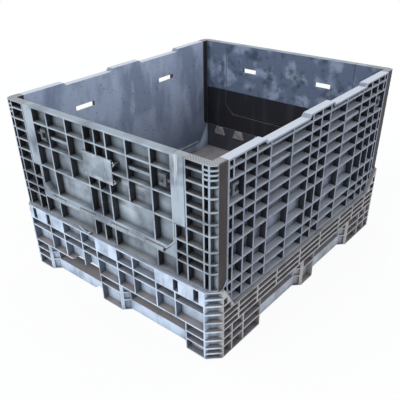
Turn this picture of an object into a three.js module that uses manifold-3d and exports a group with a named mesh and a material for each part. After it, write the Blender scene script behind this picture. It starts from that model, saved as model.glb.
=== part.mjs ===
// Folding bulk container: a four-way pallet base, two door walls with drop doors,
// and two long walls that fold flat over the deck. Millimetres, +Z up.
// X runs along the door walls, Y along the long walls, and Z is up from the floor.
import * as THREE from 'three';
import { mergeGeometries, mergeVertices } from 'three/addons/utils/BufferGeometryUtils.js';
import Module from 'manifold-3d';

const wasm = await Module();
wasm.setup();

// Overall size
const WIDTH = 1219;
const LENGTH = 1448;
const HEIGHT = 864;

// Moulded walls: a smooth skin inside and a grid of ribs outside
const SETBACK = 15;
const WALL = 38;
const SKIN = 6;
const RIB = 7;
const CORNER = 32;
const FIT = 2.5;
const SEAT = 0.4;

// Base levels
const SKID_TOP = 57;
const FORK_TOP = 142;
const DECK = 192;
const DECK_SKIN = 12;
const SIDE_TOP = 235;
const BAND = 277;
const BASE_TOP = 345;

// Base plan
const BASE_CORNER = 48;
const CORNER_POCKET = 25;
const BASE_WALL = 53;
const BASE_POCKET = 36;
const FOOT_POCKET = 30;
const SLOPE_POCKET = 10;
const CORNER_FOOT_X = 153;
const CORNER_FOOT_Y = 315;
const MID_FOOT_X = 130;
const MID_FOOT_Y = 100;
const CENTRE_BLOCK = [260, 200];
const SKID_INSET = 33;
const SKID_WIDTH = 70;
const TOWER_TOP = 60;
const TOWER_FOOT = 127;

// Damage: outlines in X and Z from the middle foot's left edge at the floor
const BREAK = [[-210, 141], [-178, 152], [-150, 149], [-125, 165], [-113, 150], [-100, 150],
  [-62, 158], [-48, 176], [-20, 186], [-1, 184], [-1, 141]];
const BREAK_DEPTH = 38;
const CHIP = [[-96, -1], [-84, 14], [-66, 25], [-44, 21], [-30, 9], [-26, -1]];
const CHIP_DEPTH = 28;

// Door walls
const POST_RETURN = 88;
const POST_STRIP = 41;
const POST_RIB = 24;
const DOOR_HALF = 405;
const DOOR_SILL = 456;
const DOOR_CUT = 45;
const RAIL_TOP = 444;
const FLANGE = 55;
const FLANGE_THICK = 10;
const FLANGE_FOOT = 591;
const LABEL = [172, 108];
const LABEL_Z = 694;
const LABEL_THICK = 8;

// Hinges: the pins stand just proud of the faces that the panels turn toward
const KNUCKLE = 8;
const KNUCKLES = 7;
const PIN = 4;
const PIN_GAP = 0.8;
const PIN_OVERRUN = 3;
const KNUCKLE_GAP = 2;
const AXIS_PROUD = 2;
const DOOR_AXIS_Z = 450;
const WALL_AXIS_Z = 244;
const DOOR_HINGE_END = 10;
const WALL_HINGE_END = 25;

// Long walls
const WALL_FOOT = 238;
const EAR_TOP = 343;
const EAR_SHOULDER = 374;
const EAR_GAP = 5;
const RIM_DROP = 14;
const RIM_TAB = 95;
const RIM_LOW = 300;

// Hand slots and latches
const SLOT = 24;
const SLOT_INSET = 17.5;
const BAR = 12;
const LATCH_TRAVEL = 20;
const LATCH_BOLT = 12;
const LATCH_DEPTH = 13;
const LATCH_HANDLE = [35, 48];
const LATCH_GAP = 1.5;
const LATCH_PROUD = 6;
const LATCH_BACK = 4;

// Rib patterns, as shares of the run that each grid covers
const MIN_POCKET = 4;
const DOOR_COLUMNS = [-1, -0.75, -0.437, -0.161, 0, 0.161, 0.437, 0.75, 1];
const DOOR_FOOT_COLUMNS = [-1, -0.75, -0.161, 0, 0.161, 0.75, 1];
const DOOR_ROWS = [0, 0.317, 0.575, 0.823, 1];
const STILE_ROWS = [0, 0.155, 0.235, 0.34, 0.47, 0.565, 0.66, 0.752, 0.845, 0.938, 1];
const CORNER_ROWS = [0, 0.155, 0.235, 0.34, 0.47, 0.565, 0.66, 0.762, 0.847, 0.896, 0.93, 0.963, 1];
const SIDE_HALF_COLUMNS = [0.117, 0.349, 0.592, 0.733, 0.845, 0.95];
const SIDE_ROWS = [0, 0.095, 0.175, 0.295, 0.447, 0.548, 0.637, 0.719, 0.798, 0.87, 0.945, 1.02];
const SIDE_TALL = [7, 9];
const BAND_COLUMNS = [-1, -0.73, -0.54, -0.3, -0.12, 0.12, 0.3, 0.54, 0.73, 1];
const CROWN_POCKETS = [[-0.96, -0.9], [-0.77, -0.71], [-0.54, -0.3], [-0.3, -0.12]];
const LOW_COLUMNS = [-1, -0.85, -0.65, -0.43, -0.14, 0.14, 0.43, 0.65, 0.85, 1];
const DECK_COLUMNS = [-1, -0.26, 0.26, 1];
const DECK_ROWS = [-1, -0.58, -0.16, 0.16, 0.58, 1];

// Derived faces and places
const faceX = WIDTH / 2 - SETBACK;
const faceY = LENGTH / 2 - SETBACK;
const sideHalf = LENGTH / 2 - POST_RETURN - FIT;
const frameFoot = BASE_TOP + SEAT;
const pocketDepth = WALL - SKIN;
const doorAxis = { y: -AXIS_PROUD, z: DOOR_AXIS_Z, half: DOOR_HALF - DOOR_CUT - DOOR_HINGE_END };
const sideAxis = { y: WALL + AXIS_PROUD, z: WALL_AXIS_Z, half: LENGTH / 2 - TOWER_FOOT - WALL_HINGE_END };

const spread = (from, to, shares) => shares.map((share) => from + share * (to - from));
const around = (half, shares) => shares.map((share) => share * half);
const mirror = (list) => list.map((value) => -value).reverse();
const sorted = (a, b) => (a < b ? [a, b] : [b, a]);
// An outline drawn for X over 0, from low to high, closed by its mirror image
const bothSides = (points) => [...points, ...points.map(([x, y]) => [-x, y]).reverse()];

const doorRows = spread(DOOR_SILL + 2 * RIB, HEIGHT, DOOR_ROWS);
const sideRows = spread(WALL_FOOT, HEIGHT, SIDE_ROWS);
const doorLatchZ = (doorRows[2] + doorRows[3]) / 2;
const sideLatchZ = (sideRows[SIDE_TALL[0]] + sideRows[SIDE_TALL[1]]) / 2;
const sideColumns = [...mirror(SIDE_HALF_COLUMNS), 0, ...SIDE_HALF_COLUMNS];
const footRows = [0, SKID_TOP, (SKID_TOP + FORK_TOP) / 2, FORK_TOP + RIB / 2];
const midFootRows = [0, footRows[2], footRows[3]];

// Geometry helpers

function box(x0, x1, y0, y1, z0, z1) {
  const geometry = new THREE.BoxGeometry(x1 - x0, y1 - y0, z1 - z0);
  return geometry.translate((x0 + x1) / 2, (y0 + y1) / 2, (z0 + z1) / 2);
}

// An outline in X and Y, given height along Z
function flat(points, z0, z1) {
  const shape = new THREE.Shape(points.map(([x, y]) => new THREE.Vector2(x, y)));
  return new THREE.ExtrudeGeometry(shape, { depth: z1 - z0, bevelEnabled: false }).translate(0, 0, z0);
}

// An outline in X and Z, given depth along Y
function upright(points, y0, y1) {
  return flat(points, -y1, -y0).rotateX(Math.PI / 2);
}

// An outline in Y and Z, given width along X
function sideways(points, x0, x1) {
  return upright(points, -x1, -x0).rotateZ(Math.PI / 2);
}

function bar(x0, x1, radius, y, z) {
  const geometry = new THREE.CylinderGeometry(radius, radius, x1 - x0, 8);
  return geometry.rotateZ(Math.PI / 2).translate((x0 + x1) / 2, y, z);
}

function toSolid(geometry) {
  const bare = geometry.clone();
  bare.deleteAttribute('normal');
  bare.deleteAttribute('uv');
  const merged = mergeVertices(bare, 1e-3);
  return new wasm.Manifold(new wasm.Mesh({
    numProp: 3,
    vertProperties: new Float32Array(merged.attributes.position.array),
    triVerts: new Uint32Array(merged.index.array),
  }));
}

function toGeometry(solid) {
  const mesh = solid.getMesh();
  const geometry = new THREE.BufferGeometry();
  geometry.setAttribute('position', new THREE.BufferAttribute(mesh.vertProperties, 3));
  geometry.setIndex(new THREE.BufferAttribute(mesh.triVerts, 1));
  return geometry;
}

const add = (solid, pieces) => pieces.map(toSolid).reduce((sum, piece) => sum.add(piece), solid);
const cut = (solid, tools) => tools.map(toSolid).reduce((rest, tool) => rest.subtract(tool), solid);
// Boxes that stay clear of each other are cut in one step
const cutAll = (solid, boxes) => solid.subtract(toSolid(mergeGeometries(boxes)));

// Walls are drawn with their outer face on Y = 0 and their depth toward +Y
const turnTo = {
  front: (g) => g.clone().translate(0, -faceY, 0),
  back: (g) => g.clone().rotateZ(Math.PI).translate(0, faceY, 0),
  right: (g) => g.clone().rotateZ(Math.PI / 2).translate(faceX, 0, 0),
  left: (g) => g.clone().rotateZ(-Math.PI / 2).translate(-faceX, 0, 0),
};

// Rib grid: one pocket for each cell, open toward the outer face
function cells(columns, rows, depth, skip = () => false) {
  const pockets = [];
  for (let i = 0; i + 1 < columns.length; i += 1) {
    for (let k = 0; k + 1 < rows.length; k += 1) {
      const wide = columns[i + 1] - columns[i] - RIB > MIN_POCKET;
      const tall = rows[k + 1] - rows[k] - RIB > MIN_POCKET;
      if (wide && tall && !skip(i, k)) {
        const x = columns[i] + RIB / 2;
        const z = rows[k] + RIB / 2;
        pockets.push(box(x, columns[i + 1] - RIB / 2, -1, depth, z, rows[k + 1] - RIB / 2));
      }
    }
  }
  return pockets;
}

// Pockets stay one rib inside the outline that is drawn by the given function
function pocketed(outline, boxes) {
  const body = toSolid(upright(outline(0), 0, WALL));
  const limit = toSolid(upright(outline(RIB), -2, WALL));
  return body.subtract(toSolid(mergeGeometries(boxes)).intersect(limit));
}

// Hinge knuckles: the two sides of a hinge take turns along the pin
function knuckleSpans({ half }, moving) {
  const pitch = (2 * half) / KNUCKLES;
  const first = moving ? 1 : 0;
  const count = Math.ceil((KNUCKLES - first) / 2);
  return Array.from({ length: count }, (_, i) => {
    const start = -half + (first + 2 * i) * pitch;
    return [start + KNUCKLE_GAP / 2, start + pitch - KNUCKLE_GAP / 2];
  });
}

// A knuckle is an eye round the pin, with a web up or down to the panel behind it
function knuckles(axis, moving) {
  const inward = axis.y < 0 ? 1 : -1;
  const [y0, y1] = sorted(axis.y, axis.y + inward * KNUCKLE);
  const [z0, z1] = moving ? [axis.z, axis.z + 2 * KNUCKLE] : [axis.z - 2 * KNUCKLE, axis.z];
  return knuckleSpans(axis, moving).flatMap(([x0, x1]) => [
    bar(x0, x1, KNUCKLE, axis.y, axis.z),
    box(x0, x1, y0, y1, z0, z1),
  ]);
}

// Room in a panel for the knuckles of the other side
function knuckleRoom(axis, moving) {
  const gap = KNUCKLE_GAP;
  const reach = KNUCKLE + gap;
  return knuckleSpans(axis, moving).map(([x0, x1]) => (
    box(x0 - gap / 2, x1 + gap / 2, axis.y - reach, axis.y + reach, axis.z - reach, axis.z + reach)
  ));
}

function pinBar({ y, z, half }, overrun, radius) {
  return bar(-half - overrun, half + overrun, radius, y, z);
}

const bore = (axis) => pinBar(axis, 2 * PIN_OVERRUN, PIN + PIN_GAP);
const makePin = (axis) => pinBar(axis, PIN_OVERRUN, PIN);

// Base

function basePlan() {
  const x = WIDTH / 2;
  const y = LENGTH / 2;
  const c = BASE_CORNER;
  return bothSides([[x - c, -y], [x, -y + c], [x, y - c], [x - c, y]]);
}

// A foot between two fork openings spreads at 45 degrees from its face to the skid line
function midFoot(width, face) {
  const s = SKID_INSET;
  const w = width / 2;
  const outline = [[w, face], [w + s, face + s], [w + s, face + s + SKID_WIDTH]];
  return flat(bothSides(outline), 0, FORK_TOP + 1);
}

function cornerFoot() {
  const s = SKID_INSET;
  const c = BASE_CORNER;
  const outline = [
    [c, 0], [CORNER_FOOT_X, 0], [CORNER_FOOT_X + s, s], [CORNER_FOOT_X + s, CORNER_FOOT_Y + s],
    [s, CORNER_FOOT_Y + s], [0, CORNER_FOOT_Y], [0, c],
  ];
  return flat(outline, 0, FORK_TOP + 1).translate(-WIDTH / 2, -LENGTH / 2, 0);
}

function mirroredX(solid) {
  return solid.mirror([1, 0, 0]);
}

function feetAndSkids() {
  const near = toSolid(cornerFoot()).add(mirroredX(toSolid(cornerFoot())));
  const far = near.mirror([0, 1, 0]);
  const x = WIDTH / 2 - SKID_INSET;
  const y = LENGTH / 2 - SKID_INSET;
  const [blockX, blockY] = CENTRE_BLOCK;
  return add(near.add(far), [
    midFoot(MID_FOOT_X, -LENGTH / 2),
    midFoot(MID_FOOT_X, -LENGTH / 2).rotateZ(Math.PI),
    midFoot(MID_FOOT_Y, -WIDTH / 2).rotateZ(Math.PI / 2),
    midFoot(MID_FOOT_Y, -WIDTH / 2).rotateZ(-Math.PI / 2),
    box(-blockX / 2, blockX / 2, -blockY / 2, blockY / 2, 0, FORK_TOP + 1),
    box(-x, x, -y, -y + SKID_WIDTH, 0, SKID_TOP),
    box(-x, x, y - SKID_WIDTH, y, 0, SKID_TOP),
    box(-x, -x + SKID_WIDTH, -y, y, 0, SKID_TOP),
    box(x - SKID_WIDTH, x, -y, y, 0, SKID_TOP),
  ]);
}

// Above the low side rails the base is open between the slopes of the corner towers
function sideOpening() {
  const y = LENGTH / 2;
  const outline = [
    [-y + TOWER_FOOT, SIDE_TOP], [y - TOWER_FOOT, SIDE_TOP], [y - TOWER_TOP, BASE_TOP], [y - TOWER_TOP, HEIGHT],
    [-y + TOWER_TOP, HEIGHT], [-y + TOWER_TOP, BASE_TOP],
  ];
  return sideways(outline, -WIDTH, WIDTH);
}

// Pockets in the 45 degree sides of the feet on one face, at the edges of its corner and middle feet
function slopePockets(cornerEdge, midEdge) {
  const run = SKID_INSET * Math.SQRT2;
  const rising = cells([SLOPE_POCKET, run], footRows, SLOPE_POCKET).map((g) => g.rotateZ(Math.PI / 4));
  const falling = cells([-run, -SLOPE_POCKET], footRows, SLOPE_POCKET).map((g) => g.rotateZ(-Math.PI / 4));
  return [cornerEdge, midEdge].flatMap((x) => [
    ...rising.map((g) => g.clone().translate(x, 0, 0)),
    ...falling.map((g) => g.clone().translate(-x, 0, 0)),
  ]);
}

// Pockets of the base under the doors, on its outer face at Y = 0
function baseFrontPockets() {
  const half = WIDTH / 2;
  const inner = half - BASE_CORNER - RIB;
  const bands = cells(around(inner, BAND_COLUMNS), [FORK_TOP + RIB / 2, SIDE_TOP, BAND], BASE_POCKET);
  const crown = CROWN_POCKETS.flatMap(([a, b]) => [[a, b], [-b, -a]]).flatMap((pair) => (
    cells(around(inner, pair), [BAND, BASE_TOP - RIB / 2], BASE_POCKET)));
  const footColumns = [-inner, -half + CORNER_FOOT_X];
  return [
    ...bands,
    ...crown,
    ...cells(footColumns, footRows, FOOT_POCKET),
    ...cells(mirror(footColumns), footRows, FOOT_POCKET),
    ...cells([-MID_FOOT_X / 2, MID_FOOT_X / 2], midFootRows, FOOT_POCKET),
    ...slopePockets(footColumns[1], MID_FOOT_X / 2),
  ];
}

// Pockets of the base under a long wall, on its outer face at Y = 0
function baseSidePockets() {
  const half = LENGTH / 2;
  const inner = half - BASE_CORNER - RIB;
  const lowRows = spread(FORK_TOP + RIB / 2, SIDE_TOP, [0, 1 / 3, 2 / 3, 1]);
  const towerRows = spread(SIDE_TOP, BASE_TOP, [0, 1 / 3, 2 / 3, 1]);
  const towerRuns = spread(TOWER_FOOT, TOWER_TOP, [1 / 3, 2 / 3, 1]);
  const tower = towerRuns.flatMap((run, k) => {
    const columns = [-inner - RIB / 2, -half + run];
    const rows = towerRows.slice(k, k + 2);
    return [...cells(columns, rows, BASE_POCKET), ...cells(mirror(columns), rows, BASE_POCKET)];
  });
  const footColumns = spread(-inner, -half + CORNER_FOOT_Y, [0, 0.22, 0.52, 1]);
  return [
    ...cells(around(inner, LOW_COLUMNS), lowRows, BASE_POCKET),
    ...tower,
    ...cells(footColumns, footRows, FOOT_POCKET),
    ...cells(mirror(footColumns), footRows, FOOT_POCKET),
    ...cells([-MID_FOOT_Y / 2, MID_FOOT_Y / 2], midFootRows, FOOT_POCKET),
    ...slopePockets(-half + CORNER_FOOT_Y, MID_FOOT_Y / 2),
  ];
}

// Between these pockets, shelves run round the base's corners, with a flat back across the corner
function baseCornerPockets() {
  const reach = BASE_CORNER + RIB / 2;
  const across = BASE_CORNER + CORNER_POCKET * Math.SQRT2 - reach;
  const corner = [[-1, -1], [reach, -1], [reach, across], [across, reach], [-1, reach]];
  const middles = [SKID_TOP / 2, (BAND + BASE_TOP) / 2];
  const rows = [0, middles[0], SKID_TOP, footRows[2], footRows[3], DECK, SIDE_TOP, BAND, middles[1], BASE_TOP];
  const pockets = [];
  for (const sx of [-1, 1]) {
    for (const sy of [-1, 1]) {
      const outline = corner.map(([u, v]) => [sx * (WIDTH / 2 - u), sy * (LENGTH / 2 - v)]);
      for (let k = 0; k + 1 < rows.length; k += 1) {
        pockets.push(flat(outline, rows[k] + RIB / 2, rows[k + 1] - RIB / 2));
      }
    }
  }
  return pockets;
}

// The deck is ribbed from below, clear of the legs and of the centre block
function deckCells() {
  const reachX = WIDTH / 2 - SKID_INSET - SKID_WIDTH;
  const reachY = LENGTH / 2 - SKID_INSET - SKID_WIDTH;
  const columns = around(reachX, DECK_COLUMNS);
  const rows = around(reachY, DECK_ROWS);
  const pockets = [];
  for (let i = 0; i + 1 < columns.length; i += 1) {
    for (let k = 0; k + 1 < rows.length; k += 1) {
      const overBlock = columns[i] * columns[i + 1] < 0 && rows[k] * rows[k + 1] < 0;
      if (!overBlock) {
        const x = columns[i] + RIB;
        const y = rows[k] + RIB;
        pockets.push(box(x, columns[i + 1] - RIB, y, rows[k + 1] - RIB, -1, DECK - DECK_SKIN));
      }
    }
  }
  return pockets;
}

// On the front the lower edge over one fork opening is broken away, and the skid under it is chipped
function damage() {
  const footEdge = -MID_FOOT_X / 2;
  const face = -LENGTH / 2;
  const skidFace = face + SKID_INSET;
  const lowerEdge = BREAK.map(([x, z]) => [footEdge + x, z]);
  const skidEdge = CHIP.map(([x, z]) => [footEdge + x, z]);
  return [
    upright(lowerEdge, face - 1, face + BREAK_DEPTH),
    upright(skidEdge, skidFace - 1, skidFace + CHIP_DEPTH),
  ];
}

function makeBase() {
  const [x, y] = [WIDTH / 2 - BASE_WALL, LENGTH / 2 - BASE_WALL];
  let body = toSolid(flat(basePlan(), FORK_TOP, BASE_TOP));
  body = cut(body, [box(-x, x, -y, y, DECK, HEIGHT), sideOpening()]);
  body = body.add(feetAndSkids());
  body = cutAll(body, deckCells());
  const front = mergeGeometries(baseFrontPockets()).translate(0, -LENGTH / 2, 0);
  const side = mergeGeometries(baseSidePockets()).translate(0, -WIDTH / 2, 0);
  body = cut(body, [front, front.clone().rotateZ(Math.PI)]);
  body = cut(body, [side.clone().rotateZ(Math.PI / 2), side.rotateZ(-Math.PI / 2)]);
  body = cutAll(body, baseCornerPockets());
  body = cut(body, damage());
  for (const turn of [turnTo.right, turnTo.left]) {
    body = cut(add(body, knuckles(sideAxis, false).map(turn)), [turn(bore(sideAxis))]);
  }
  return toGeometry(body);
}

// Door walls

// The opening in the door wall is the door's outline, grown by a clearance
function doorOutline(grow) {
  const x = DOOR_HALF + grow;
  const z = DOOR_SILL - grow;
  const slope = DOOR_CUT + grow * (Math.SQRT2 - 1) * Math.SQRT2;
  return bothSides([[x - slope, z], [x, z + slope], [x, HEIGHT + grow]]);
}

// The rounded plan of a door wall with the post that returns at each end
function doorWallPlan() {
  const depth = POST_RETURN - SETBACK;
  const inner = faceX - WALL;
  const arc = [0, 1, 2, 3].map((i) => {
    const angle = (i * Math.PI) / 6;
    return [faceX - CORNER + CORNER * Math.sin(angle), CORNER - CORNER * Math.cos(angle)];
  });
  return bothSides([...arc, [faceX, depth], [inner, depth], [inner, WALL]]);
}

function doorWallPockets() {
  const postRib = faceX - POST_RIB;
  const outer = [postRib - POST_RIB, postRib];
  const rows = spread(frameFoot + RIB / 2, HEIGHT, STILE_ROWS);
  const cornerRows = spread(frameFoot + RIB / 2, HEIGHT, CORNER_ROWS);
  const flangeEdge = DOOR_HALF + FLANGE + FIT + RIB / 2;
  const stile = cells([flangeEdge, outer[0]], rows, pocketDepth);
  const post = cells(outer, cornerRows, pocketDepth);
  const foot = cells([DOOR_HALF + FIT + RIB / 2, flangeEdge], rows.slice(0, 5), pocketDepth);
  const right = [...stile, ...post, ...foot];
  const left = right.map((g) => g.clone().rotateZ(Math.PI).translate(0, pocketDepth - 1, 0));
  const railColumns = around(DOOR_HALF + FIT + RIB / 2, DOOR_FOOT_COLUMNS);
  const rail = cells(railColumns, [frameFoot + RIB / 2, RAIL_TOP - RIB], pocketDepth);
  const wrap = [];
  for (let k = 0; k + 1 < cornerRows.length; k += 1) {
    for (const sign of [-1, 1]) {
      const [x0, x1] = sorted(sign * (postRib + RIB / 2), sign * (faceX + 1));
      const z = cornerRows[k] + RIB / 2;
      wrap.push(box(x0, x1, -1, POST_STRIP - SETBACK, z, cornerRows[k + 1] - RIB / 2));
    }
  }
  return { face: [...right, ...left, ...rail], wrap };
}

function makeDoorWall(turn) {
  const { face, wrap } = doorWallPockets();
  let body = toSolid(flat(doorWallPlan(), frameFoot, HEIGHT));
  const opening = doorOutline(FIT);
  const sillDrop = DOOR_SILL - FIT - RAIL_TOP;
  const mouth = bothSides([[DOOR_HALF - DOOR_CUT - sillDrop, RAIL_TOP], opening[0]]);
  body = cut(body, [upright(opening, -1, WALL + 1), upright(mouth, -1, WALL + 1)]);
  const rebate = DOOR_HALF + FLANGE + FIT;
  body = cut(body, [box(-rebate, rebate, -1, FLANGE_THICK + 1, FLANGE_FOOT - FIT, HEIGHT + 1)]);
  body = cutAll(body, face);
  body = cutAll(body, wrap);
  const depth = POST_RETURN - SETBACK;
  const towerEdge = TOWER_TOP - SETBACK;
  const heelTop = EAR_SHOULDER + 2 * EAR_GAP;
  const heel = [[towerEdge, frameFoot - 1], [depth + 1, frameFoot - 1], [depth + 1, heelTop],
    [towerEdge, frameFoot + EAR_GAP]];
  body = cut(body, [sideways(heel, -WIDTH, WIDTH), ...doorKeepers(), ...sideKeepers()]);
  body = cutAll(body, knuckleRoom(doorAxis, true));
  body = cut(add(body, knuckles(doorAxis, false)), [bore(doorAxis)]);
  return turn(toGeometry(body));
}

// Recesses that take the latch bolts: in the stiles for the door, in the posts for the long walls
function doorKeepers() {
  const reach = LATCH_TRAVEL + 2 * LATCH_GAP;
  const half = LATCH_BOLT / 2 + LATCH_GAP;
  return [-1, 1].map((sign) => {
    const [x0, x1] = sorted(sign * DOOR_HALF, sign * (DOOR_HALF + reach));
    const back = LATCH_DEPTH + LATCH_BOLT + LATCH_GAP;
    return box(x0, x1, FLANGE_THICK, back, doorLatchZ - half, doorLatchZ + half);
  });
}

function sideKeepers() {
  const depth = POST_RETURN - SETBACK;
  const half = LATCH_BOLT / 2 + LATCH_GAP;
  return [-1, 1].map((sign) => {
    const near = faceX - LATCH_DEPTH + LATCH_GAP;
    const [x0, x1] = sorted(sign * near, sign * (near - LATCH_BOLT - 2 * LATCH_GAP));
    return box(x0, x1, depth - LATCH_TRAVEL - LATCH_GAP, depth + 1, sideLatchZ - half, sideLatchZ + half);
  });
}

// Through slots for the hands, each under a bar that crosses its pocket
function handSlots(columns, pairs, z) {
  const slots = [];
  const bars = [];
  for (const i of pairs) {
    const x0 = columns[i];
    const x1 = columns[i + 1];
    slots.push(box(x0 + SLOT_INSET, x1 - SLOT_INSET, -1, WALL + 1, z - SLOT, z));
    bars.push(box(x0, x1, RIB, pocketDepth + 1, z, z + BAR));
  }
  return { slots, bars };
}

// The bolt of a latch slides through this slot in the panel's edge
function boltSlots(edge, z) {
  const half = LATCH_BOLT / 2 + LATCH_GAP;
  const y0 = LATCH_DEPTH - LATCH_GAP;
  const y1 = LATCH_DEPTH + LATCH_BOLT + LATCH_GAP;
  const slot = box(edge - 2 * RIB, edge + 1, y0, y1, z - half, z + half);
  return [slot, slot.clone().translate(-2 * edge + 2 * RIB - 1, 0, 0)];
}

function makeDoor(turn) {
  const inner = DOOR_HALF - RIB / 2;
  const columns = around(inner, DOOR_COLUMNS);
  const upper = cells(columns, doorRows.slice(1), pocketDepth);
  const lower = cells(around(inner, DOOR_FOOT_COLUMNS), doorRows.slice(0, 2), pocketDepth);
  let body = pocketed((inset) => doorOutline(-inset), [...upper, ...lower]);
  for (const [x0, x1] of [[-DOOR_HALF - FLANGE, -DOOR_HALF + 1], [DOOR_HALF - 1, DOOR_HALF + FLANGE]]) {
    body = add(body, [box(x0, x1, 0, FLANGE_THICK, FLANGE_FOOT, HEIGHT)]);
  }
  const [labelWide, labelTall] = LABEL;
  const hands = handSlots(columns, [1, 6], (doorRows[2] + doorRows[3]) / 2 - BAR / 2);
  body = add(body, [
    box(-labelWide / 2, labelWide / 2, 0, LABEL_THICK, LABEL_Z - labelTall / 2, LABEL_Z + labelTall / 2),
    ...hands.bars,
  ]);
  body = cut(body, [...hands.slots, ...boltSlots(DOOR_HALF, doorLatchZ)]);
  body = cutAll(body, knuckleRoom(doorAxis, false));
  body = cut(add(body, knuckles(doorAxis, true)), [bore(doorAxis)]);
  return turn(toGeometry(body));
}

// Long walls

// Ears at the foot reach under the posts, and the rim steps down between three raised tabs
function sideOutline(inset) {
  const half = LENGTH / 2;
  const foot = half - TOWER_FOOT - EAR_GAP - inset;
  const ear = half - TOWER_TOP - EAR_GAP - inset;
  const edge = sideHalf - inset;
  const low = HEIGHT - RIM_DROP - inset;
  const high = HEIGHT - inset;
  const rightEdge = [
    [foot, WALL_FOOT + inset], [ear, EAR_TOP - inset / 2], [edge, EAR_SHOULDER - inset], [edge, high],
    [RIM_TAB + RIM_LOW + RIM_DROP + inset, high], [RIM_TAB + RIM_LOW + inset, low],
    [RIM_TAB + RIM_DROP - inset, low], [RIM_TAB - inset, high],
  ];
  return bothSides(rightEdge);
}

// Tall pockets take the latches at the ends and the hand slots between them
function makeSideWall(turn) {
  const edge = LENGTH / 2 - TOWER_TOP;
  const end = sideHalf - RIB / 2;
  const columns = [-edge, -end, ...around(sideHalf, sideColumns), end, edge];
  const last = columns.length - 2;
  const hand = columns.indexOf(-sideHalf * SIDE_HALF_COLUMNS[2]);
  const tall = [[1, 3], [hand, hand + 1], [last - hand, last - hand + 1], [last - 2, last]];
  const inTall = (i, k) => (
    k >= SIDE_TALL[0] && k < SIDE_TALL[1] && tall.some(([first, next]) => i >= first && i < next));
  const onEar = (i, k) => (i === 0 || i === last) && k > 2;
  const boxes = cells(columns, sideRows, pocketDepth, (i, k) => inTall(i, k) || onEar(i, k));
  for (const [first, next] of tall) {
    boxes.push(...cells([columns[first], columns[next]], SIDE_TALL.map((k) => sideRows[k]), pocketDepth));
  }
  let body = pocketed(sideOutline, boxes);
  const hands = handSlots(columns, [hand, last - hand], sideLatchZ);
  body = cut(add(body, hands.bars), [...hands.slots, ...boltSlots(sideHalf, sideLatchZ)]);
  body = cutAll(body, knuckleRoom(sideAxis, false));
  body = cut(add(body, knuckles(sideAxis, true)), [bore(sideAxis)]);
  return turn(toGeometry(body));
}

// Latches: a bolt with a C-shaped pull, drawn for the end at +X and shown drawn back

function makeLatch(edge, z, sign, turn) {
  const [pull, tall] = LATCH_HANDLE;
  const tip = edge - LATCH_GAP;
  const root = tip - LATCH_TRAVEL - 2 * RIB;
  const y0 = LATCH_DEPTH;
  const y1 = LATCH_DEPTH + LATCH_BOLT;
  const face = y0 - LATCH_PROUD;
  const half = LATCH_BOLT / 2;
  let body = toSolid(box(root - pull, tip, y0, y1, z - half, z + half));
  body = add(body, [box(root - pull, root, face, y1 + LATCH_BACK, z - tall / 2, z + tall / 2)]);
  const grip = y1 - LATCH_BACK;
  body = cut(body, [box(root - pull - 1, root - pull / 3, face - 1, grip, z - tall / 4, z + tall / 4)]);
  return turn(toGeometry(sign > 0 ? body : body.mirror([1, 0, 0])));
}

// Assembly

const material = (colour, roughness = 0.7, metalness = 0) => (
  new THREE.MeshStandardMaterial({ color: colour, roughness, metalness }));
const MATERIALS = {
  base: material('#b4c6dc'),
  doorWall: material('#8f99a2'),
  door: material('#98a3ac'),
  side: material('#8b8f9e'),
  latch: material('#a9b0b4', 0.6),
  pin: material('#7d7f80', 0.4, 0.9),
};

const group = new THREE.Group();
function place(name, geometry, finish) {
  const mesh = new THREE.Mesh(geometry, MATERIALS[finish]);
  mesh.name = name;
  group.add(mesh);
}

place('base', makeBase(), 'base');
for (const end of ['front', 'back']) {
  place(`${end}_wall`, makeDoorWall(turnTo[end]), 'doorWall');
  place(`${end}_door`, makeDoor(turnTo[end]), 'door');
  place(`${end}_door_pin`, turnTo[end](makePin(doorAxis)), 'pin');
  place(`${end}_door_latch_left`, makeLatch(DOOR_HALF, doorLatchZ, -1, turnTo[end]), 'latch');
  place(`${end}_door_latch_right`, makeLatch(DOOR_HALF, doorLatchZ, 1, turnTo[end]), 'latch');
}
for (const side of ['right', 'left']) {
  place(`${side}_wall`, makeSideWall(turnTo[side]), 'side');
  place(`${side}_wall_pin`, turnTo[side](makePin(sideAxis)), 'pin');
  place(`${side}_wall_latch_left`, makeLatch(sideHalf, sideLatchZ, -1, turnTo[side]), 'latch');
  place(`${side}_wall_latch_right`, makeLatch(sideHalf, sideLatchZ, 1, turnTo[side]), 'latch');
}

export default group;
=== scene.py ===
"""Folding bulk container: camera, light, floor, weathered plastic finishes and small moulded details."""
import math
import bmesh
import bpy
from mathutils import Matrix, Vector


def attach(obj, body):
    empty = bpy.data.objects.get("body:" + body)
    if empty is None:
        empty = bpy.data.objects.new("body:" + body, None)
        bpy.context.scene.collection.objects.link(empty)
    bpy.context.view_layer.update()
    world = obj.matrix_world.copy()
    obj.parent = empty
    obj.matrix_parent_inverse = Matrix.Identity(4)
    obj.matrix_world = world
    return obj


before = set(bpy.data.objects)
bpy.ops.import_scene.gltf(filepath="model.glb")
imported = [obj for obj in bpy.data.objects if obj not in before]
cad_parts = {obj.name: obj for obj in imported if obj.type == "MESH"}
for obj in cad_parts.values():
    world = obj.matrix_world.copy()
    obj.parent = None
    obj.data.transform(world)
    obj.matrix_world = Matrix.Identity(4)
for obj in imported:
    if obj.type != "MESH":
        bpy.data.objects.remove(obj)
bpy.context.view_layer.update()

MM = 0.001
ROOT = "base_and_door_walls"

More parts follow.
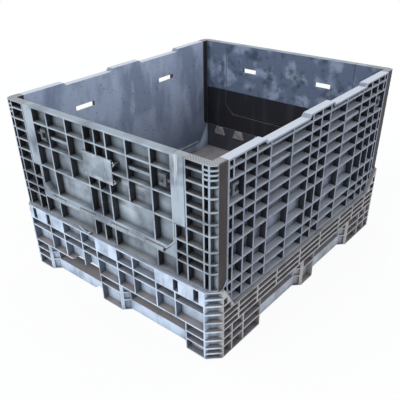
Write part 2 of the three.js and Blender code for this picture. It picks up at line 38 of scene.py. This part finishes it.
# Camera: azimuth from the front door's normal toward +X, elevation, roll, place and focal length
VIEW_AZIMUTH = math.radians(41.41)
VIEW_ELEVATION = math.radians(33.47)
VIEW_ROLL = math.radians(-1.69)
CAMERA_PLACE = Vector((1537.8, -1899.7, 1576.9)) * MM
FOCAL_PIXELS = 522.0
CENTRE_PIXEL = (191.4, 244.6)
FRAME_PIXELS = 400
SENSOR_MM = 36

# Light: an even sky, and a wide soft sun that shines from SUN_FROM
SKY_COLOUR = (0.86, 0.92, 1.0, 1)
SKY_STRENGTH = 1.0
SUN_STRENGTH = 1.0
SUN_ANGLE = math.radians(25)
SUN_FROM = Vector((-0.1, -0.8, 0.8))
FLOOR_SIZE = 8
FLOOR_GLOW = 0.92

# Places that the finishes and details follow, in millimetres from the middle or the ground
POST_FACE_X = 594.5
POST_STRIP_Y = (636, 683)
FAR_HALF_Y = (600, 620)
DECK_TO_LEDGE = 220
FAR_DARK_TOP = 590
WALL_INSIDE_Y = 671
SILL_TOP = 345
GRIP_CHECKS_PER_METRE = 170.0

# Card hooks: places from the plate's middle, and how far each arm and lip runs inward
PLATE_Z = 694
HOOK_X, HOOK_Z = 95, 38
HOOK_FACE_Y = 707
ARM_DEPTH, LIP_DEPTH = 30, 5

# Sill tabs
TAB_PITCH = 150
TAB_HALF_WIDTH = 44
TAB_HEIGHT = 52
TAB_DEPTH = 10
TAB_GAP = 0.2
TAB_TAPER = 0.62
TAB_TAPER_FROM = 20


def make_camera():
    data = bpy.data.cameras.new("camera")
    data.sensor_width = SENSOR_MM
    data.lens = FOCAL_PIXELS * SENSOR_MM / FRAME_PIXELS
    data.shift_x = (FRAME_PIXELS / 2 - CENTRE_PIXEL[0]) / FRAME_PIXELS
    data.shift_y = (CENTRE_PIXEL[1] - FRAME_PIXELS / 2) / FRAME_PIXELS
    data.clip_start = 0.05
    camera = bpy.data.objects.new("camera", data)
    bpy.context.scene.collection.objects.link(camera)
    back = Vector((
        math.sin(VIEW_AZIMUTH) * math.cos(VIEW_ELEVATION),
        -math.cos(VIEW_AZIMUTH) * math.cos(VIEW_ELEVATION),
        math.sin(VIEW_ELEVATION),
    ))
    right = (-back).cross(Vector((0, 0, 1))).normalized()
    up = right.cross(-back)
    cos_roll, sin_roll = math.cos(VIEW_ROLL), math.sin(VIEW_ROLL)
    turned_right = right * cos_roll + up * sin_roll
    turned_up = up * cos_roll - right * sin_roll
    rotation = Matrix((turned_right, turned_up, back)).transposed()
    camera.matrix_world = Matrix.Translation(CAMERA_PLACE) @ rotation.to_4x4()
    bpy.context.scene.camera = camera


def linear(code):
    """A linear RGBA colour from an sRGB hex code."""
    parts = [int(code[i:i + 2], 16) / 255 for i in (1, 3, 5)]
    return tuple(p / 12.92 if p <= 0.04045 else ((p + 0.055) / 1.055) ** 2.4 for p in parts) + (1.0,)


def add_node(tree, kind, settings=None, **links):
    """Adds a node: settings go to its properties, links to inputs by name or by number, as i0, i1."""
    node = tree.nodes.new(kind)
    for key, value in (settings or {}).items():
        setattr(node, key, value)
    for key, value in links.items():
        socket = node.inputs[int(key[1:])] if key[0] == "i" and key[1:].isdigit() else node.inputs[key]
        if isinstance(value, bpy.types.NodeSocket):
            tree.links.new(value, socket)
        else:
            socket.default_value = value
    return node


class Finish:
    """A plastic finish: a body colour that steps lay other colours over, each through a mask of 0 to 1."""

    def __init__(self, name, colour, roughness=0.62):
        self.material = bpy.data.materials.new(name)
        self.material.use_nodes = True
        self.tree = self.material.node_tree
        self.shader = self.tree.nodes["Principled BSDF"]
        coordinates = add_node(self.tree, "ShaderNodeTexCoord")
        self.place = coordinates.outputs["Object"]
        normal = coordinates.outputs["Normal"]
        self.x, self.y, self.z = add_node(self.tree, "ShaderNodeSeparateXYZ", i0=self.place).outputs
        self.nx, self.ny, self.nz = add_node(self.tree, "ShaderNodeSeparateXYZ", i0=normal).outputs
        self.colour = linear(colour)
        self.shader.inputs["Roughness"].default_value = roughness

    def maths(self, operation, a, b=0.0):
        return add_node(self.tree, "ShaderNodeMath", {"operation": operation}, i0=a, i1=b).outputs[0]

    def size(self, value):
        return self.maths("ABSOLUTE", value)

    def common(self, *masks):
        """The mask of what several masks share."""
        result = masks[0]
        for mask in masks[1:]:
            result = self.maths("MULTIPLY", result, mask)
        return result

    def ramp(self, value, low, high):
        """0 at low and 1 at high, straight between; low may be the larger."""
        return add_node(self.tree, "ShaderNodeMapRange", i0=value, i1=low, i2=high).outputs[0]

    def grade(self, value, low_mm, high_mm):
        """A ramp over a place."""
        return self.ramp(value, low_mm * MM, high_mm * MM)

    def band(self, value, low_mm, high_mm, soft_mm=2):
        """1 between two places."""
        return self.common(
            self.grade(value, low_mm - soft_mm, low_mm + soft_mm),
            self.grade(value, high_mm + soft_mm, high_mm - soft_mm),
        )

    def noise(self, size_mm, detail=3.0, stretch=None):
        vector = self.place
        if stretch:
            vector = add_node(self.tree, "ShaderNodeMapping", i0=vector, Scale=stretch).outputs[0]
        node = add_node(self.tree, "ShaderNodeTexNoise", Vector=vector, Scale=1000 / size_mm, Detail=detail)
        return node.outputs[0]

    def spots(self, size_mm, low, high, stretch=None, detail=3.0):
        """Soft blotches of about one size."""
        return self.ramp(self.noise(size_mm, detail, stretch), low, high)

    def upward(self):
        """Faces that look up."""
        return self.ramp(self.nz, 0.8, 0.95)

    def sideways(self, axis):
        """Faces that look either way along an axis of the normal."""
        return self.ramp(self.size(axis), 0.75, 0.95)

    def over(self, mask, colour, amount=1.0):
        """Lays a colour over the finish where the mask is 1."""
        if amount < 1:
            mask = self.maths("MULTIPLY", mask, amount)
        sockets = {"i0": mask, "i6": self.colour, "i7": linear(colour)}
        self.colour = add_node(self.tree, "ShaderNodeMix", {"data_type": "RGBA"}, **sockets).outputs[2]

    def mottle(self, colour, size_mm, low=0.42, high=0.7, amount=1.0, stretch=None):
        self.over(self.spots(size_mm, low, high, stretch), colour, amount)

    def recess(self, colour, reach_mm, low=0.9, high=0.35, amount=1.0):
        """Dirt and shade deep in the pockets."""
        hidden = add_node(self.tree, "ShaderNodeAmbientOcclusion", {"samples": 6}, Distance=reach_mm * MM)
        self.over(self.ramp(hidden.outputs["AO"], low, high), colour, amount)

    def edges(self, colour, width_mm, amount=1.0):
        """Wear along the corners of the moulding, and on the long walls painted highlight as well."""
        rounded = add_node(self.tree, "ShaderNodeBevel", {"samples": 4}, Radius=width_mm * MM).outputs[0]
        flat = add_node(self.tree, "ShaderNodeNewGeometry").outputs["Normal"]
        match = add_node(self.tree, "ShaderNodeVectorMath", {"operation": "DOT_PRODUCT"}, i0=rounded, i1=flat)
        self.over(self.ramp(match.outputs["Value"], 0.99, 0.86), colour, amount)

    def finish(self, grain_mm=3.0, grain=0.15):
        """Adds the fine grain of the surface and gives the material."""
        height = self.noise(grain_mm, detail=2.0)
        bump = add_node(self.tree, "ShaderNodeBump", Height=height, Strength=grain, Distance=0.0006)
        self.tree.links.new(bump.outputs[0], self.shader.inputs["Normal"])
        self.tree.links.new(self.colour, self.shader.inputs["Base Color"])
        return self.material


def base_finish():
    """Structural foam polyethylene, light blue-grey on the door ends, dull tan dirt along the long sides, with
    painted shade on ledges, pocket sides and undersides.
    """
    f = Finish("weathered_shade_painted_blue_grey_polyethylene", "#cddbec", 0.6)
    across, along = f.size(f.x), f.size(f.y)
    f.mottle("#a5b2c4", 90, 0.45, 0.68)
    f.mottle("#cfd9e6", 22, 0.55, 0.75, 0.6)
    f.over(f.common(f.grade(across, 565, 585), f.grade(along, 700, 670)), "#b8aea6", 0.85)
    f.over(f.common(f.upward(), f.grade(f.z, DECK_TO_LEDGE, DECK_TO_LEDGE - 20)), "#9b9594")
    # Painted shade: ledges and rib tops above the deck are painted a darker grey for the low light on them.
    f.over(f.common(f.upward(), f.grade(f.z, DECK_TO_LEDGE, DECK_TO_LEDGE + 20)), "#8d8c90", 0.7)
    f.mottle("#6f6662", 50, 0.5, 0.75, 0.55, (1, 1, 0.3))
    # Painted shade: pocket side walls that face along X are painted dark.
    f.over(f.common(f.band(across, 0, 553), f.ramp(f.sideways(f.nx), 0.4, 0.6)), "#3f4653", 0.8)
    facing = f.common(f.grade(f.y, *FAR_HALF_Y), f.ramp(f.ny, -0.8, -0.95))
    f.over(f.common(facing, f.grade(f.z, 190, 195)), "#1b1a1f", 0.95)
    # Painted shade: faces that look down, such as the deck's underside, are painted darker.
    f.over(f.ramp(f.nz, -0.6, -0.9), "#3b3a40", 0.6)
    f.recess("#3a3b44", 70, 0.7, 0.2, 0.75)
    f.edges("#cfd3d8", 2.0, 0.35)
    return f.finish()


def fade_panel(f):
    """Faded faces, pale rubbed patches and brown runs."""
    f.mottle("#6c757f", 110, 0.45, 0.7)
    f.mottle("#b9c2c9", 26, 0.58, 0.78, 0.45, (1, 1, 0.35))
    f.mottle("#4c4a4c", 60, 0.55, 0.78, 0.5, (1, 1, 0.2))


def far_inside_clouds_and_dark_low(f):
    """Chalky clouds on the inside of the far wall, and nearly black below a level line."""
    facing = f.common(f.ramp(f.ny, -0.7, -0.9), f.grade(f.y, *FAR_HALF_Y))
    f.over(facing, "#5f6c82")
    f.over(f.common(facing, f.spots(110, 0.5, 0.62, detail=8.0)), "#8f9cb0")
    f.over(f.common(facing, f.spots(60, 0.52, 0.66, detail=6.0)), "#313a49", 0.75)
    # Nearly black on the far inside faces below a level line.
    f.over(f.common(facing, f.grade(f.z, FAR_DARK_TOP + 2, FAR_DARK_TOP - 2)), "#15131a")
    low = f.grade(f.z, FAR_DARK_TOP + 10, FAR_DARK_TOP - 2)
    f.over(f.common(facing, low, f.spots(45, 0.55, 0.75, (1, 1, 0.12))), "#3b3d45", 0.5)


def door_wall_finish(back):
    """Grey moulded wall with brown grime on its post strips, and painted shade on its shelves and pocket sides.
    """
    f = Finish("weathered_grey_polyethylene_" + ("far_wall" if back else "near_wall"), "#a2acb5")
    fade_panel(f)
    if back:
        far_inside_clouds_and_dark_low(f)
    across, along = f.size(f.x), f.size(f.y)
    # Painted shade: upward faces are painted a flat shelf grey for the low light on them.
    f.over(f.upward(), "#a4a2a2", 0.7)
    grip = add_node(f.tree, "ShaderNodeTexChecker", Vector=f.place, Scale=GRIP_CHECKS_PER_METRE).outputs["Fac"]
    f.over(f.common(f.grade(across, 450, 470), f.upward(), grip), "#6d6358", 0.7)
    strip = f.common(f.grade(across, POST_FACE_X - 6, POST_FACE_X - 4), f.band(along, *POST_STRIP_Y))
    f.over(strip, "#2d201c")
    f.over(f.common(strip, f.spots(35, 0.5, 0.8, (1, 1, 0.2))), "#403837")
    # Painted shade: the pocket side walls that face along X are painted nearly black.
    f.over(f.common(f.grade(across, 588, 586), f.sideways(f.nx)), "#16161b", 0.93)
    f.recess("#101015", 60, 0.8, 0.3, 0.92)
    f.edges("#c3cad2", 2.0, 0.5)
    return f.finish()


def door_finish(back):
    """Grey drop door with painted shade on its shelves and pocket sides; the near one is scuffed across its
    middle and rubbed down one bar.
    """
    f = Finish("weathered_grey_polyethylene_" + ("far_door" if back else "near_door"), "#a9b4bd")
    fade_panel(f)
    if back:
        far_inside_clouds_and_dark_low(f)
    else:
        middle = f.common(f.band(f.x, -100, 260, 50), f.band(f.z, 530, 760, 30))
        f.over(f.common(f.spots(60, 0.56, 0.66, (0.25, 1, 1.5)), middle), "#d5dade", 0.75)
        f.over(f.common(f.band(f.x, 405, 460), f.spots(25, 0.55, 0.66, (1.4, 1, 0.12))), "#dfe3e6", 0.6)
    # Painted shade: upward faces are painted darker for the low light on them.
    f.over(f.upward(), "#8a9197", 0.6)
    # Painted shade: the pocket side walls that face along X are painted nearly black.
    f.over(f.sideways(f.nx), "#16161b", 0.93)
    f.recess("#101015", 60, 0.8, 0.3, 0.92)
    f.edges("#c3cad2", 2.0, 0.45)
    return f.finish()


def long_wall_finish(inner_sign):
    """Blue-grey long wall: pale rib edges outside, part wear and part painted highlight; a cloudy inside painted
    in skylight blue, with painted shade that darkens it toward the deck.
    """
    f = Finish("weathered_slate_polyethylene_" + ("right" if inner_sign < 0 else "left"), "#8b91a0")
    f.mottle("#6b7384", 90, 0.42, 0.7)
    f.mottle("#b3b4b6", 24, 0.55, 0.75, 0.5)
    f.mottle("#6f5f58", 45, 0.6, 0.8, 0.45)
    facing = f.ramp(f.maths("MULTIPLY", f.nx, float(inner_sign)), 0.8, 0.95)
    # Painted light: the inner face is painted a pale sky blue for the skylight that falls on it.
    f.over(facing, "#b9c4d8")
    f.over(f.common(facing, f.spots(150, 0.42, 0.6, (1, 1, 0.6))), "#7e8aa3", 0.7)
    f.over(f.common(facing, f.spots(55, 0.56, 0.68, (1, 1, 0.3))), "#ccd4e2", 0.55)
    f.over(f.common(facing, f.spots(12, 0.64, 0.72)), "#30353f", 0.7)
    # Painted shade: the inner face darkens toward the deck, where less sky reaches.
    f.over(f.common(facing, f.grade(f.z, 620, 280)), "#596072", 0.8)
    # Painted highlight: the rim's top faces are painted pale for the sky light on them.
    f.over(f.common(f.upward(), f.grade(f.z, 830, 845)), "#bcc3cd")
    # Painted shade: rib sides that face along Y are painted dark.
    f.over(f.sideways(f.ny), "#191b24", 0.85)
    f.recess("#0f121b", 60, 0.85, 0.35, 0.92)
    # Painted highlight: top faces are painted pale for the sky light on them.
    f.over(f.upward(), "#c4c6cb", 0.7)
    # Pale rib edges: part wear, part painted highlight.
    f.edges("#dcdee2", 2.4, 0.8)
    return f.finish()


def latch_finish():
    """Dark latch moulding, dusty."""
    f = Finish("dusty_dark_grey_latch_plastic", "#5f6469", 0.55)
    f.mottle("#3c3f43", 20, 0.5, 0.75, 0.6)
    f.recess("#202228", 20, 0.8, 0.3, 0.8)
    return f.finish()


def pin_finish():
    """Dull zinc-plated steel rod."""
    f = Finish("dull_zinc_plated_steel", "#7d7f80", 0.45)
    f.shader.inputs["Metallic"].default_value = 0.9
    f.mottle("#4d4540", 15, 0.55, 0.75, 0.7)
    return f.finish(1.5, 0.1)


def tab_finish():
    """Tan dust on the sill tabs, paler than the dark wall behind them."""
    f = Finish("dusty_tan_polyethylene_tabs", "#8f8a87")
    f.mottle("#5e5a5a", 30, 0.45, 0.7)
    return f.finish()


def floor_finish():
    """Plain white ground that shows to the camera as paper, with a faint shadow kept."""
    material = bpy.data.materials.new("white_paper_floor")
    material.use_nodes = True
    tree = material.node_tree
    tree.nodes.clear()
    output = add_node(tree, "ShaderNodeOutputMaterial")
    matt = add_node(tree, "ShaderNodeBsdfDiffuse", Color=(0.85, 0.85, 0.85, 1)).outputs[0]
    glow = add_node(tree, "ShaderNodeEmission", Color=(1, 1, 1, 1), Strength=1.0).outputs[0]
    seen = add_node(tree, "ShaderNodeLightPath").outputs["Is Camera Ray"]
    share = add_node(tree, "ShaderNodeMath", {"operation": "MULTIPLY"}, i0=seen, i1=FLOOR_GLOW).outputs[0]
    tree.links.new(add_node(tree, "ShaderNodeMixShader", i0=share, i1=matt, i2=glow).outputs[0], output.inputs[0])
    return material


def make_light():
    scene = bpy.context.scene
    scene.view_settings.view_transform = "Standard"
    world = bpy.data.worlds.new("world")
    scene.world = world
    world.use_nodes = True
    tree = world.node_tree
    tree.nodes.clear()
    sky = add_node(tree, "ShaderNodeBackground", Color=SKY_COLOUR, Strength=SKY_STRENGTH).outputs[0]
    paper = add_node(tree, "ShaderNodeBackground", Color=(1, 1, 1, 1), Strength=1.0).outputs[0]
    seen = add_node(tree, "ShaderNodeLightPath").outputs["Is Camera Ray"]
    both = add_node(tree, "ShaderNodeMixShader", i0=seen, i1=sky, i2=paper).outputs[0]
    tree.links.new(both, add_node(tree, "ShaderNodeOutputWorld").inputs[0])
    sun = bpy.data.lights.new("sun", "SUN")
    sun.energy = SUN_STRENGTH
    sun.angle = SUN_ANGLE
    lamp = bpy.data.objects.new("sun", sun)
    scene.collection.objects.link(lamp)
    lamp.rotation_euler = SUN_FROM.to_track_quat("Z", "Y").to_euler()
    bpy.ops.mesh.primitive_plane_add(size=FLOOR_SIZE)
    floor = bpy.context.object
    floor.name = "floor"
    floor.data.materials.append(floor_finish())


def make_piece(name, build, material, body):
    """A new mesh object at the origin, its place held in its vertices."""
    mesh = bpy.data.meshes.new(name)
    bm = bmesh.new()
    build(bm)
    bmesh.ops.recalc_face_normals(bm, faces=bm.faces)
    bm.to_mesh(mesh)
    bm.free()
    mesh.materials.append(material)
    piece = bpy.data.objects.new(name, mesh)
    bpy.context.scene.collection.objects.link(piece)
    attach(piece, body)


def block(bm, low, high, bevel=1.0, turn=None):
    """A box between two corners in millimetres with rounded edges, turned about its middle."""
    low, high = Vector(low) * MM, Vector(high) * MM
    size, middle = high - low, (low + high) / 2
    matrix = Matrix.Translation(middle) @ (turn or Matrix.Identity(4)) @ Matrix.Diagonal((*size, 1))
    made = bmesh.ops.create_cube(bm, size=1.0, matrix=matrix)
    edges = list({edge for vert in made["verts"] for edge in vert.link_edges})
    bmesh.ops.bevel(bm, geom=edges, offset=bevel * MM, segments=1, profile=0.5, affect="EDGES", material=-1)


def span(sign, outer, depth):
    """Low and high Y of something that runs inward from the outer distance, at the end that sign gives."""
    return sorted((sign * outer, sign * (outer - depth)))


def card_hooks(sign):
    """Four hooks that hold a card on the plate of a door, one at each corner."""
    def build(bm):
        arm_low, arm_high = span(sign, HOOK_FACE_Y, ARM_DEPTH)
        lip_low, lip_high = span(sign, HOOK_FACE_Y, LIP_DEPTH)
        for side in (-1, 1):
            for level in (-1, 1):
                x, z = side * HOOK_X, PLATE_Z + level * HOOK_Z
                lip_x = x - 3 * side
                block(bm, (x - 6, arm_low, z - 4), (x + 6, arm_high, z + 4))
                block(bm, (lip_x - 3, lip_low, z - 10), (lip_x + 3, lip_high, z + 10))
    return build


def sill_tabs(sign):
    """Seven tapered tabs along the inside of a door sill."""
    def build(bm):
        low, high = span(sign, WALL_INSIDE_Y - TAB_GAP, TAB_DEPTH - TAB_GAP)
        bottom, top = SILL_TOP - TAB_HEIGHT, SILL_TOP - 1
        for x in range(-3 * TAB_PITCH, 4 * TAB_PITCH, TAB_PITCH):
            start = len(bm.verts)
            block(bm, (x - TAB_HALF_WIDTH, low, bottom), (x + TAB_HALF_WIDTH, high, top), 3)
            bm.verts.ensure_lookup_table()
            for vert in bm.verts[start:]:
                if vert.co.z > (SILL_TOP - TAB_TAPER_FROM) * MM:
                    vert.co.x = x * MM + (vert.co.x - x * MM) * TAB_TAPER
    return build


def torn_flap(bm):
    """A torn strip of the base's ledge that stands up in front of the left of the door."""
    lift = Matrix.Rotation(math.radians(24), 4, "Y") @ Matrix.Rotation(math.radians(-18), 4, "X")
    block(bm, (-176, -722, 352), (-128, -711, 355), 0.8, lift)
    block(bm, (-132, -720, 346), (-96, -711, 349), 0.8, lift.inverted())


def make_finishes():
    """Gives every node of the frame its finish."""
    walls = {end: door_wall_finish(end == "back") for end in ("front", "back")}
    doors = {end: door_finish(end == "back") for end in ("front", "back")}
    sides = {"right": long_wall_finish(-1), "left": long_wall_finish(1)}
    base, latch, pin = base_finish(), latch_finish(), pin_finish()
    for name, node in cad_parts.items():
        first = name.split("_")[0]
        if name == "base":
            finish = base
        elif "latch" in name:
            finish = latch
        elif name.endswith("_pin"):
            finish = pin
        elif name.endswith("_door"):
            finish = doors[first]
        else:
            finish = walls.get(first) or sides[first]
        node.data.materials.clear()
        node.data.materials.append(finish)
    return base, doors


make_camera()
make_light()
base_material, door_materials = make_finishes()
tab_material = tab_finish()
make_piece("torn_ledge_flap", torn_flap, base_material, ROOT)
for end, sign in (("front", -1), ("back", 1)):
    make_piece(end + "_door_card_hooks", card_hooks(sign), door_materials[end], end + "_door")
    make_piece(end + "_sill_tabs", sill_tabs(sign), tab_material, ROOT)
